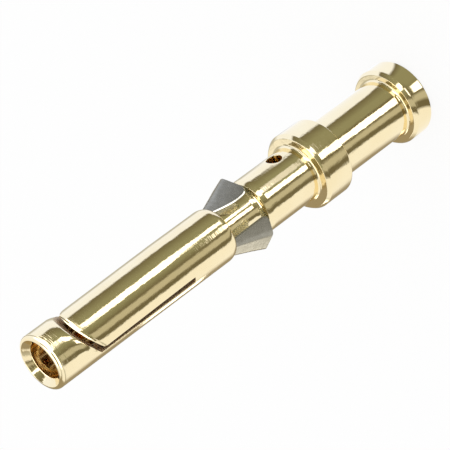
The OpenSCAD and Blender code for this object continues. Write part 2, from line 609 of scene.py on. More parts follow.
    def slit_rows(self, inside: bool) -> list[np.ndarray]:
        """Return the rows past the slots and the oblique cut, from below the root to the ring.

        Args:
            inside: Whether the rows lie in the socket bore or on the barrel.

        Returns:
            One array of points for each row.
        """
        radius = self.bore_r if inside else self.barrel_r
        angles = self.inner_angles if inside else self.outer_angles
        into = 1.0 if inside else -1.0
        slot_ease = self.bore_ease if inside else self.slot_ease
        ease = np.array(self.columns.ease)
        tongue = np.array([stretch is Stretch.TONGUE for stretch in self.columns.stretch])
        x, y = radius * np.sin(angles), -radius * np.cos(angles)
        front_half = np.cos(angles) > -CLOSE
        on_fixed = ~front_half | (np.abs(np.cos(angles)) < CLOSE)
        on_tongue = ~on_fixed & (tongue | (ease > 0))
        in_slot = ~on_fixed & ~on_tongue

        def bevel(size: float) -> np.ndarray:
            """Return a bevel's size along the cut, which shrinks into a slot's edge at either end."""
            grown = 0.0 if inside else size - slot_ease
            return slot_ease + grown * smoothstep(np.cos(angles) / self.BEVEL_FADE)

        tip_l, tip_drop = bevel(self.tip_bevel_l), bevel(self.tip_bevel_drop)
        ring_l, ring_drop = bevel(self.ring_bevel_l), bevel(self.ring_bevel_drop)
        slope = math.tan(math.radians(self.cut_angle)) * np.clip(np.cos(angles), 0.0, 1.0)
        along = 1.0 / np.sqrt(1.0 + slope ** 2)
        edge_y = np.where(front_half, y, 0.0)
        tip_z, ring_z = self.cut_back(edge_y), self.cut_front(edge_y)
        rows: list[np.ndarray] = []

        def add(z: np.ndarray, across: np.ndarray, down: np.ndarray, bend: bool) -> None:
            """Add one row.

            Args:
                z: Heights of its points.
                across: How far each point lies across a slot's eased edge.
                down: How far each point lies below the surface.
                bend: Whether the tongue's points follow its bend.
            """
            row = np.stack([x + into * np.sign(x) * across + into * down * np.sin(angles),
                            y - into * down * np.cos(angles), z], axis=1)
            rows.append(np.where(on_tongue[:, None], self.bent(row), row) if bend else row)

        none = np.zeros_like(angles)
        slot_drop = slot_ease * ease ** 2
        for v in EASE_SHARES:
            z = np.full_like(angles, self.root_z - slot_ease * (1 - v) ** 2)
            add(z, slot_drop * v ** 2, np.where(in_slot, slot_ease * v ** 2, 0.0), False)
        middle_z = float(tip_z[on_tongue].min()) - self.TIP_STRETCH
        bend_top = self.root_z + 2 * self.tongue_straight_l
        bend_heights = np.linspace(self.root_z, bend_top, self.BEND_ROWS + 1)[1:]
        plain_heights = np.linspace(bend_top, middle_z, self.TONGUE_ROWS + 1)[1:]
        for height in (*bend_heights, *plain_heights):
            add(np.full_like(angles, height), slot_drop, none, True)
        for share in self.TIP_SHARES:
            add(middle_z + (tip_z - tip_l - middle_z) * share, slot_drop, none, True)
        for v in self.CUT_SHARES:
            drop = np.where(on_tongue, tip_drop * along * v ** self.BEVEL_CURVE, 0.0)
            z = tip_z - tip_l * (1 - v) ** self.BEVEL_CURVE + into * slope * drop
            add(z, slot_drop, drop, True)
        ring_slot = np.where(on_fixed, slot_drop, 0.0)
        for v in reversed(self.CUT_SHARES):
            drop = np.where(on_fixed, 0.0, ring_drop * along * v ** self.BEVEL_CURVE)
            z = ring_z + ring_l * (1 - v) ** self.BEVEL_CURVE + into * slope * drop
            add(z, ring_slot * v ** 2, drop, False)
        top_z = self.mouth_z - (self.entry_ring_l if inside else self.mouth_round) - self.RING_MARGIN
        start = ring_z + ring_l
        for share in self.CUT_SHARES[1:]:
            add(start + (top_z - start) * share, none, none, False)
        return rows

    def slit_cells(self) -> set[Cell]:
        """Find the cells that the slots and the oblique cut take away.

        Returns:
            The cells, as (row, column).
        """
        root = len(EASE_SHARES) - 1
        tip = root + self.BEND_ROWS + self.TONGUE_ROWS + len(self.TIP_SHARES) + len(self.CUT_SHARES)
        cells = {(k, i) for k in range(root, tip + 1) for i in self.columns.cells(Stretch.SLOT)}
        return cells | {(tip, i) for i in self.columns.cells(Stretch.TONGUE)}

    def patch_rows(self, inside: bool) -> list[np.ndarray]:
        """Return the rows past the sight hole, from low to high.

        Args:
            inside: Whether the rows lie in the wire bore or on the sight segment.

        Returns:
            One array of points for each row.
        """
        radius = (self.wire_bore_d if inside else self.segment_d) / 2
        half_z = self.INNER_PATCH_HALF if inside else self.PATCH_HALF
        ease = self.inner_hole_ease if inside else self.hole_ease
        turn = math.radians(self.sight_hole_angle)
        out = np.array([math.sin(turn), -math.cos(turn), 0.0])
        side = np.array([math.cos(turn), math.sin(turn), 0.0])
        start = self.patch_column
        half_x = radius * math.sin(self.outer_angles[start + 2 * self.PATCH] - turn)
        hole_r = self.sight_hole_d / 2
        eased = self.HOLE_EASED
        rows = []
        for b in range(-self.PATCH, self.PATCH + 1):
            row = self.ring_row(radius, self.hole_z + half_z * b / self.PATCH, self.outer_angles)
            for a in range(-self.PATCH, self.PATCH + 1):
                level = max(abs(a), abs(b))
                if level < self.HOLE or level == self.PATCH:
                    continue
                angle = self.square_angle(a, b)
                u = max(0.0, 1 - (level - self.HOLE) / eased)
                circle_r = hole_r + ease * (1 - u) ** 2
                share = max(0.0, (level - self.HOLE - eased) / (self.PATCH - self.HOLE - eased))
                across = (1 - share) * circle_r * math.cos(angle) + share * half_x * a / level
                height = (1 - share) * circle_r * math.sin(angle) + share * half_z * b / level
                depth = math.sqrt(radius ** 2 - across ** 2) + (1 if inside else -1) * ease * u ** 2
                row[start + a + self.PATCH] = side * across + out * depth + [0.0, 0.0, self.hole_z + height]
            rows.append(row)
        return rows

    @staticmethod
    def square_angle(a: int, b: int) -> float:
        """Find the angle round the hole for a point of a square, in even steps.

        Args:
            a: The point's place across.
            b: The point's place upwards.

        Returns:
            The angle in radians.
        """
        level = max(abs(a), abs(b))
        quarter = math.pi / 4
        if a == level:
            return quarter * b / level
        if b == level:
            return 2 * quarter - quarter * a / level
        if a == -level:
            return 4 * quarter - quarter * b / level
        return 6 * quarter + quarter * a / level

    def hole_cells(self) -> set[Cell]:
        """Return the cells that the sight hole takes away, as (row, column)."""
        span = range(self.PATCH - self.HOLE, self.PATCH + self.HOLE)
        return {(k, self.patch_column + i) for k in span for i in span}

    def wire_tip(self) -> ProfilePen:
        """Draw the wire bore's drilled point.

        Returns:
            The pen that drew it.
        """
        r = self.wire_bore_d / 2
        point_l = r / math.tan(math.radians(self.drill_half_angle))
        return ProfilePen().to((0.0, self.wire_end_z + point_l), (r, self.wire_end_z))

    def rear_profile(self) -> ProfilePen:
        """Draw from the wire bore over the rear face, the flange and the collar to the segment.

        Returns:
            The pen that drew it.
        """
        pen = ProfilePen()
        bore, entry = self.wire_bore_d / 2, self.wire_entry_d / 2
        flange, crimp = self.flange_d / 2, self.crimp_d / 2
        collar, segment = self.collar_d / 2, self.segment_d / 2
        rear, tool = self.rear_round, self.tool_fillet
        low = self.flange_l
        pen.to((bore, self.hole_z - self.INNER_PATCH_HALF - self.PATCH_MARGIN))
        pen.to((bore, entry - bore), (entry, 0.0))
        pen.to((flange - rear, 0.0)).arc((flange - rear, rear), (flange, rear))
        pen.to((flange, low - self.crown_l)).crown(self.crown_l, self.crown_drop, self.crown_curl)
        pen.face(crimp, self.flange_fillet, self.face_slope)
        low = self.collar_low_z
        pen.to((crimp, low - tool)).arc((crimp + tool, low - tool), (crimp + tool, low))
        pen.to((collar - rear, low)).arc((collar - rear, low + rear), (collar, low + rear))
        low = self.collar_z
        pen.to((collar, low - self.crown_l)).crown(self.crown_l, self.crown_drop, self.crown_curl)
        pen.face(segment, self.collar_fillet, self.face_slope)
        return pen.to((segment, self.hole_z - self.PATCH_HALF - self.PATCH_MARGIN))

    def neck_profile(self) -> ProfilePen:
        """Draw from the sight hole over the neck groove to the socket barrel.

        Returns:
            The pen that drew it.
        """
        segment, neck = self.segment_d / 2, self.neck_d / 2
        length, drop = self.groove_crown_l, self.groove_crown_drop
        fillet, tool = self.neck_fillet, self.tool_fillet
        pen = ProfilePen().to((segment, self.hole_z + self.PATCH_HALF + self.PATCH_MARGIN))
        pen.to((segment, self.segment_z - length)).crown(length, drop, self.groove_curl)
        low = self.segment_z
        pen.to((neck + fillet, low)).arc((neck + fillet, low + fillet), (neck, low + fillet))
        low = self.shoulder_z
        pen.to((neck, low - tool)).arc((neck + tool, low - tool), (neck + tool, low))
        pen.to((self.barrel_r - drop, low)).crown(length, -drop, self.groove_curl)
        return pen.to((self.barrel_r, self.root_z - self.slot_ease - self.ROOT_MARGIN))

    def mouth_profile(self) -> ProfilePen:
        """Draw from the entry ring over the mouth into the socket bore.

        Returns:
            The pen that drew it.
        """
        barrel, mouth, entry = self.barrel_r, self.mouth_d / 2, self.entry_bore_d / 2
        edge, top = self.mouth_round, self.mouth_z
        step_z = top - self.entry_ring_l
        pen = ProfilePen().to((barrel, top - edge - self.MOUTH_MARGIN), (barrel, top - edge))
        pen.arc((barrel - edge, top - edge), (barrel - edge, top))
        pen.to((mouth, top), (entry, top - self.mouth_l), (entry, step_z), (self.bore_r, step_z))
        return pen.to((self.bore_r, step_z - self.MOUTH_MARGIN))

    def bore_end(self) -> ProfilePen:
        """Draw the socket bore's drilled end."""
        point_l = self.bore_r / math.tan(math.radians(self.drill_half_angle))
        return ProfilePen().to((self.bore_r, self.root_z - self.bore_ease - self.ROOT_MARGIN),
                               (self.bore_r, self.socket_end_z), (0.0, self.socket_end_z - point_l))

    def build(self) -> bpy.types.Object:
        """Build the body's mesh.

        Returns:
            The mesh object.
        """
        skin = Skin(len(self.columns.outer))

        def draw(pen: ProfilePen, angles: np.ndarray, inner_r: float) -> None:
            """Add the rows of a drawn profile, which are inside up to the given radius."""
            for r, z in pen.rows():
                skin.add(self.ring_row(r, z, angles), inside=r <= inner_r + CLOSE)

        wire_r, entry_r = self.wire_bore_d / 2, self.entry_bore_d / 2
        draw(self.wire_tip(), self.outer_angles, wire_r)
        hole_in = [skin.add(row, inside=True) for row in reversed(self.patch_rows(inside=True))][::-1]
        draw(self.rear_profile(), self.outer_angles, wire_r)
        hole_out = [skin.add(row) for row in self.patch_rows(inside=False)]
        draw(self.neck_profile(), self.outer_angles, 0.0)
        slit_out = [skin.add(row) for row in self.slit_rows(inside=False)]
        for r, z in self.mouth_profile().rows():
            inside = r <= entry_r + CLOSE
            skin.add(self.ring_row(r, z, self.inner_angles if inside else self.outer_angles), inside)
        slit_in = [skin.add(row, inside=True) for row in reversed(self.slit_rows(inside=True))][::-1]
        draw(self.bore_end(), self.inner_angles, entry_r)
        skin.cut(self.hole_cells(), hole_out, hole_in, BodyFinish.TURNED)
        # The cuts' walls take the rough, dark brown material: sawn surface plus painted shade
        skin.cut(self.slit_cells(), slit_out, slit_in, BodyFinish.SAWN)
        vertices, faces, finishes = skin.mesh()
        return new_piece("contact_skin", vertices, faces, self.SHARP_ANGLE, finishes)

    def dress(self, piece: bpy.types.Object, *finishes: "GoldPlate") -> None:
        """Give the body its finishes and put it in the frame.

        Args:
            piece: Mesh object of the body.
            finishes: Finish for each BodyFinish, in its order.
        """
        for finish in finishes:
            piece.data.materials.append(finish.material())
        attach(piece, BODY)
        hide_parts("contact_body")


class ClipFinish(IntEnum):
    """Finishes of the clip, as the numbers of its materials."""

    OUTER = 0
    # The clip's inner side: rougher steel with a much lighter colour that is painted light inside the clip
    INNER = 1
    # Cut edges and the first lip: smoother steel with a much lighter colour that is a painted highlight
    EDGE = 2


@dataclass
class RetentionClip:
    """Split cone of rolled spring steel round the neck."""

    # Rolled cone and its gap
    rim_z: float = 12.02
    length: float = 1.84
    rim_d: float = 4.02
    top_d: float = 2.66
    thickness: float = 0.1
    flare: float = 0.04
    gap_w: float = 1.6
    gap_angle: float = -25.0
    corner_r: float = 0.38
    edge_bevel: float = 0.02

    # Turn of the first edge by its rise from 0 to 1: factors of the square, of the rise and alone
    edge_bow: tuple[float, float, float] = (44.0, -30.0, -2.0)

    # Pressed flats and turned lips, the first edge's before the last edge's
    corner_spread: float = 4.0
    lip_w: float = 0.08
    lip_turns: Point = (32.0, 20.0)
    lip_top_fade: float = 0.5
    lip_fade_from: float = 0.7
    lip_fade_l: float = 0.3

    # Corners between the flats, and rows and columns of the mesh
    CORNERS = (-122.0, -82.0, -42.0, -8.0, 49.0, 95.0, 139.0, 183.0, 210.0, 238.0)
    SPREAD_SAMPLES = 11
    LIP_SHARES = (0.0, 0.35, 0.7, 0.9, 1.0, 1.1, 1.3)
    # Columns along the first lip that take the lighter edge steel, a painted highlight
    LIP_HIGHLIGHT_CELLS = 4
    FREE_COLUMNS = 95
    PLAIN_ROWS = 6
    ROUNDED_ROWS = (0, 15, 28, 40, 52, 64, 77, 90)
    TOP_MARGIN = 0.05
    SHARP_ANGLE = 40.0
    BEVEL_SEGMENTS = 2
    BEVEL_ANGLE = 50.0

    def rows(self) -> list[float]:
        """Place the rows, close together at the rounded corners.

        Returns:
            Their heights above the rim.
        """
        rounded = [self.corner_r * (1 - math.cos(math.radians(a))) for a in self.ROUNDED_ROWS]
        plain = np.linspace(self.corner_r, self.length, self.PLAIN_ROWS + 1)[1:]
        return sorted([*rounded, *plain, self.length - self.TOP_MARGIN])

    def half_gap(self, height: float) -> float:
        """Work out half the gap's width.

        Args:
            height: Height above the rim.

        Returns:
            Half the width there.
        """
        if height >= self.corner_r:
            return self.gap_w / 2
        inward = math.sqrt(max(0.0, self.corner_r ** 2 - (self.corner_r - height) ** 2))
        return self.gap_w / 2 + self.corner_r - inward

    def flattened(self, angles: np.ndarray) -> np.ndarray:
        """Work out the soft flats that the press leaves.

        Args:
            angles: Angles round the axis, in radians.

        Returns:
            The sheet's radius at each angle, as a share of its corners' radius.
        """
        corners = np.radians(self.CORNERS)
        spread = np.radians(np.linspace(-self.corner_spread, self.corner_spread, self.SPREAD_SAMPLES))
        turned = corners[0] + np.mod(angles[:, None] + spread[None, :] - corners[0], math.tau)
        flat = np.clip(np.searchsorted(corners, turned, side="right"), 1, len(corners) - 1)
        half = (corners[flat] - corners[flat - 1]) / 2
        share = np.cos(half) / np.cos(turned - corners[flat] + half)
        return share.mean(axis=1)

    def sheet(self, offset: float) -> list[np.ndarray]:
        """Return the rows of one side of the sheet.

        Args:
            offset: Distance in from the outer side, across the axis.

        Returns:
            One array of points for each row.
        """
        result = []
        for height in self.rows():
            rise = height / self.length
            r = self.rim_d / 2 + (self.top_d - self.rim_d) / 2 * rise + self.flare * (1 - rise) ** 3 - offset
            half = math.asin(self.half_gap(height) / r)
            lip = self.lip_w * np.array(self.LIP_SHARES) / r
            first = half + math.radians(np.polyval(self.edge_bow, rise))
            last = math.tau - half
            free = np.linspace(first + lip[-1], last - lip[-1], self.FREE_COLUMNS)
            away = np.concatenate([first + lip[:-1], free, last - lip[-2::-1]])
            angles = math.radians(self.gap_angle) + away
            z = np.full_like(angles, self.rim_z + height)
            from_edge = np.minimum(away - first, last - away)
            turn = np.radians(np.where(away < math.pi, *self.lip_turns))
            inward = np.clip(self.lip_w - r * from_edge, 0.0, None) * np.tan(turn)
            kept = 1 - self.lip_top_fade * smoothstep((rise - self.lip_fade_from) / self.lip_fade_l)
            reach = r * self.flattened(angles) - inward * kept
            result.append(np.stack([reach * np.sin(angles), -reach * np.cos(angles), z], axis=1))
        return result

    def build(self) -> bpy.types.Object:
        """Build the clip's mesh, with small eased edges.

        Returns:
            The mesh object.
        """
        slope = math.atan((self.rim_d - self.top_d) / 2 / self.length)
        outer, inner = self.sheet(0.0), self.sheet(self.thickness / math.cos(slope))
        rows, width = len(outer), len(outer[0])
        vertices = [point for row in outer + inner for point in row]
        far = rows * width

        def at(j: int, i: int) -> int:
            """Return the number of a point on the outer side."""
            return j * width + i

        faces = []
        finishes = []
        for j in range(rows - 1):
            for i in range(width - 1):
                loop = (at(j, i), at(j, i + 1), at(j + 1, i + 1), at(j + 1, i))
                faces += [loop, tuple(far + k for k in reversed(loop))]
                # The first lip's cells take the lighter edge steel, a painted highlight
                outside = ClipFinish.EDGE if i < self.LIP_HIGHLIGHT_CELLS else ClipFinish.OUTER
                # The inner side takes the lighter steel, painted light
                finishes += [outside, ClipFinish.INNER]
        border = [at(0, i) for i in range(width)]
        border += [at(j, width - 1) for j in range(1, rows)]
        border += [at(rows - 1, i) for i in range(width - 2, -1, -1)]
        border += [at(j, 0) for j in range(rows - 2, 0, -1)]
        for a, b in zip(border, border[1:] + border[:1]):
            # Cut edges take the lighter edge steel, a painted highlight
            faces.append((b, a, far + a, far + b))
            finishes.append(ClipFinish.EDGE)
        piece = new_piece("clip_sheet", vertices, faces, self.SHARP_ANGLE, finishes)
        bevel = piece.modifiers.new("eased_edges", "BEVEL")
        bevel.width = self.edge_bevel * MM
        bevel.segments = self.BEVEL_SEGMENTS
        bevel.limit_method = "ANGLE"
        bevel.angle_limit = math.radians(self.BEVEL_ANGLE)
        bevel.harden_normals = True
        return piece

    def dress(self, piece: bpy.types.Object, *finishes: "SpringSteel") -> None:
        """Give the clip its finishes and put it in the frame.

        Args:
            piece: Mesh object of the clip.
            finishes: Finish for each ClipFinish, in its order.
        """
        for finish in finishes:
            piece.data.materials.append(finish.material())
        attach(piece, BODY)
        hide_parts("retention_clip")


class Recipe:
    """Adds nodes to one shader tree and joins them."""

    def __init__(self, tree: bpy.types.NodeTree) -> None:
        """Start on an empty tree."""
        self.tree = tree
        tree.nodes.clear()

    @classmethod
    def material(cls, name: str) -> tuple[bpy.types.Material, "Recipe"]:
        """Start a new material.

        Args:
            name: Name of the material.

        Returns:
            The material and its recipe.
        """
        result = bpy.data.materials.new(name)
        result.use_nodes = True
        return result, cls(result.node_tree)

    def add(self, kind: str, inputs: dict | None = None, **settings: object) -> bpy.types.Node:
        """Add a node.

        Args:
            kind: Blender's name of the node type, without the ShaderNode in front.
            inputs: Input sockets by name or number, each with a value or an output to join.
            settings: Attributes of the node.

        Returns:
            The new node.
        """
        name = kind if kind.startswith("Node") else "ShaderNode" + kind
        node = self.tree.nodes.new(name)
        for key, value in settings.items():
            setattr(node, key, value)
        for key, value in (inputs or {}).items():
            if isinstance(value, Socket):
                self.tree.links.new(value, node.inputs[key])
            else:
                node.inputs[key].default_value = value
        return node

    def math(self, operation: str, *values: float | Socket) -> Socket:
        """Return the result of one step of arithmetic on numbers and outputs."""
        return self.add("Math", dict(enumerate(values)), operation=operation).outputs[0]

    def share(self, value: Socket, low: float, high: float) -> Socket:
        """Return how far a value lies from the first end to the second, from 0 to 1."""
        return self.add("MapRange", {"Value": value, "From Min": low, "From Max": high}).outputs[0]

    def blend(self, share: Socket, first: Socket | tuple, second: Socket | tuple) -> Socket:
        """Return the first colour blended into the second by a share."""
        # Inputs 6 and 7 and output 2 are a Mix node's colours
        return self.add("Mix", {0: share, 6: first, 7: second}, data_type="RGBA").outputs[2]

    def metal(self, colour: Socket, rough: Socket, height: Socket, bump_height: float,
              tint: Colour = (1.0, 1.0, 1.0)) -> None:
        """Finish a material as a metal.

        Args:
            colour: Its colour.
            rough: Its roughness.
            height: Relief of its surface.
            bump_height: Height of the relief, in metres.
            tint: Colour of its grazing reflections.
        """
        bump = self.add("Bump", {"Strength": 1.0, "Distance": bump_height, "Height": height})
        shader = self.add("BsdfPrincipled", {"Metallic": 1.0, "Base Color": colour, "Roughness": rough,
                                             "Normal": bump.outputs[0], "Specular Tint": (*tint, 1.0)})
        self.add("OutputMaterial", {"Surface": shader.outputs[0]})


class Effect(Enum):
    """Surface effects that more than one finish uses, each with its noise's detail."""

    MOTTLE = ("cloudy_mottle", 3.0)
    LINES = ("tool_lines", 1.0)

    def tree(self) -> bpy.types.NodeTree:
        """Build the effect's node group at its first use.

        Returns:
            The node group.
        """
        label, detail = self.value
        if label in bpy.data.node_groups:
            return bpy.data.node_groups[label]
        tree = bpy.data.node_groups.new(label, "ShaderNodeTree")
        for name in ("Size", "Stretch", "Low", "High"):
            tree.interface.new_socket(name, in_out="INPUT", socket_type="NodeSocketFloat")
        tree.interface.new_socket("Value", in_out="OUTPUT", socket_type="NodeSocketFloat")
        recipe = Recipe(tree)
        given = recipe.add("NodeGroupInput").outputs
        place = recipe.add("SeparateXYZ", {0: recipe.add("TexCoord").outputs["Object"]}).outputs
        along = recipe.math("MULTIPLY", place[2], given["Stretch"])
        vector = recipe.add("CombineXYZ", {0: place[0], 1: place[1], 2: along}).outputs[0]
        scale = recipe.math("DIVIDE", 1.0, given["Size"])
        noise = recipe.add("TexNoise", {"Vector": vector, "Scale": scale, "Detail": detail}).outputs[0]
        low, high = NOISE_SPAN
        spread = recipe.add("MapRange", {"Value": noise, "From Min": low, "From Max": high,
                                         "To Min": given["Low"], "To Max": given["High"]})
        recipe.add("NodeGroupOutput", {"Value": spread.outputs[0]})
        return tree

    def on(self, recipe: Recipe, size: float, low: float = 0.0, high: float = 1.0,
           stretch: float = 1.0) -> Socket:
        """Place the effect in a material.

        Args:
            recipe: Nodes of the material.
            size: Size of its marks, in metres.
            low: Least value.
            high: Greatest value.
            stretch: How much shorter the marks are along the axis.

        Returns:
            The effect's value.
        """
        values = {"Size": size, "Stretch": stretch, "Low": low, "High": high}
        return recipe.add("Group", values, node_tree=self.tree()).outputs[0]


@dataclass(frozen=True)
class GoldPlate:
    """Bright gold plating over a turned surface."""

    name: str = "gold_plate_finish"
    pale: Colour = (0.965, 0.835, 0.545)
    deep: Colour = (0.945, 0.80, 0.50)
    roughness_low: float = 0.05
    roughness_high: float = 0.1
    mottle_size: float = 1.6 * MM
    wave_size: float = 0.26 * MM
    wave_stretch: float = 0.6
    line_size: float = 1.2 * MM
    line_stretch: float = 16.0
    line_share: float = 0.35
    bump_height: float = 0.0026 * MM

    def material(self) -> bpy.types.Material:
        """Make the material.

        Returns:
            The finished material.
        """
        result, recipe = Recipe.material(self.name)
        mottle = Effect.MOTTLE.on(recipe, self.mottle_size)
        colour = recipe.blend(mottle, (*self.deep, 1.0), (*self.pale, 1.0))
        rough = Effect.MOTTLE.on(recipe, self.wave_size, self.roughness_low, self.roughness_high)
        wave = Effect.MOTTLE.on(recipe, self.wave_size, stretch=self.wave_stretch)
        lines = Effect.LINES.on(recipe, self.line_size, stretch=self.line_stretch)
        height = recipe.math("MULTIPLY_ADD", lines, self.line_share, wave)
        recipe.metal(colour, rough, height, self.bump_height)
        return result


@dataclass(frozen=True)
class SpringSteel:
    """Satin rolled spring steel."""

    name: str = "spring_steel_finish"
    light: Colour = (0.345, 0.33, 0.275)
    dark: Colour = (0.29, 0.275, 0.225)
    roughness_low: float = 0.2
    roughness_high: float = 0.3
    mottle_size: float = 0.25 * MM
    satin_stretch: float = 2.0
    line_size: float = 1.5 * MM
    line_stretch: float = 30.0
    bump_height: float = 0.002 * MM
    edge_tint: Colour = (0.8, 0.74, 0.62)

    def material(self) -> bpy.types.Material:
        """Make the material.

        Returns:
            The finished material.
        """
        result, recipe = Recipe.material(self.name)
        mottle = Effect.MOTTLE.on(recipe, self.mottle_size)
        colour = recipe.blend(mottle, (*self.dark, 1.0), (*self.light, 1.0))
        rough = Effect.MOTTLE.on(recipe, self.mottle_size, self.roughness_low, self.roughness_high,
                                 self.satin_stretch)
        lines = Effect.LINES.on(recipe, self.line_size, stretch=self.line_stretch)
        recipe.metal(colour, rough, lines, self.bump_height, self.edge_tint)
        return result


class Tone(Enum):
    """Tones of the cards that the metal mirrors."""

    PAPER = (1.0, 1.0, 1.0)
    COOL = (1.0, 1.07, 1.28)
    SHADE = (0.55, 0.55, 0.52)
    TAN = (0.55, 0.53, 0.42)
    OLIVE = (0.30, 0.30, 0.19)
    UMBER = (0.17, 0.15, 0.09)
    EDGE = (0.36, 0.31, 0.22)
    GLOW = (0.85, 0.85, 0.85)
    LAMP = (2.4, 2.4, 2.4)


@dataclass(frozen=True)
class CardRow:
    """Tones of one row of cards, by their angle round the contact, with even blends between."""

    stops: tuple[tuple[float, Tone], ...]

    def ramp(self, recipe: Recipe, turn: Socket) -> Socket:
        """Add the row to a material.

        Args:
            recipe: Nodes of the material.
            turn: Angle round the contact, from 0 at the back to 1.

        Returns:
            The row's colour.
        """
        node = recipe.add("ValToRGB", {0: turn})
        elements = node.color_ramp.elements
        elements.remove(elements[1])
        for place, (angle, tone) in enumerate(self.stops):
            position = (angle + 180.0) / 360.0
            element = elements[0] if place == 0 else elements.new(position)
            element.position = position
            element.color = (*tone.value, 1.0)
        return node.outputs[0]


@dataclass(frozen=True)
class CardStrip:
    """One strip of light or shade in front of the rows."""

    first: float
    last: float
    start: float
    end: float
    side_soft: float = 2.0
    end_soft: float = 0.6
    tone: Tone = Tone.LAMP

    def over(self, recipe: Recipe, colour: Socket, angle: Socket, path: Socket) -> Socket:
        """Lay the strip over a colour.

        Args:
            recipe: Nodes of the material.
            colour: Colour behind the strip.
            angle: Angle round the contact, in radians.
            path: Distance along the floor and up the wall, in metres.

        Returns:
            The colour with the strip on it.
        """
        share: float | Socket = 1.0
        across = (angle, math.radians(1.0), self.first, self.last, self.side_soft)
        along = (path, MM, self.start, self.end, self.end_soft)
        for place, unit, low, high, soft in (across, along):
            for edge, inner in ((low, low + soft), (high, high - soft)):
                share = recipe.math("MULTIPLY", share, recipe.share(place, edge * unit, inner * unit))
        return recipe.blend(share, colour, (*self.tone.value, 1.0))


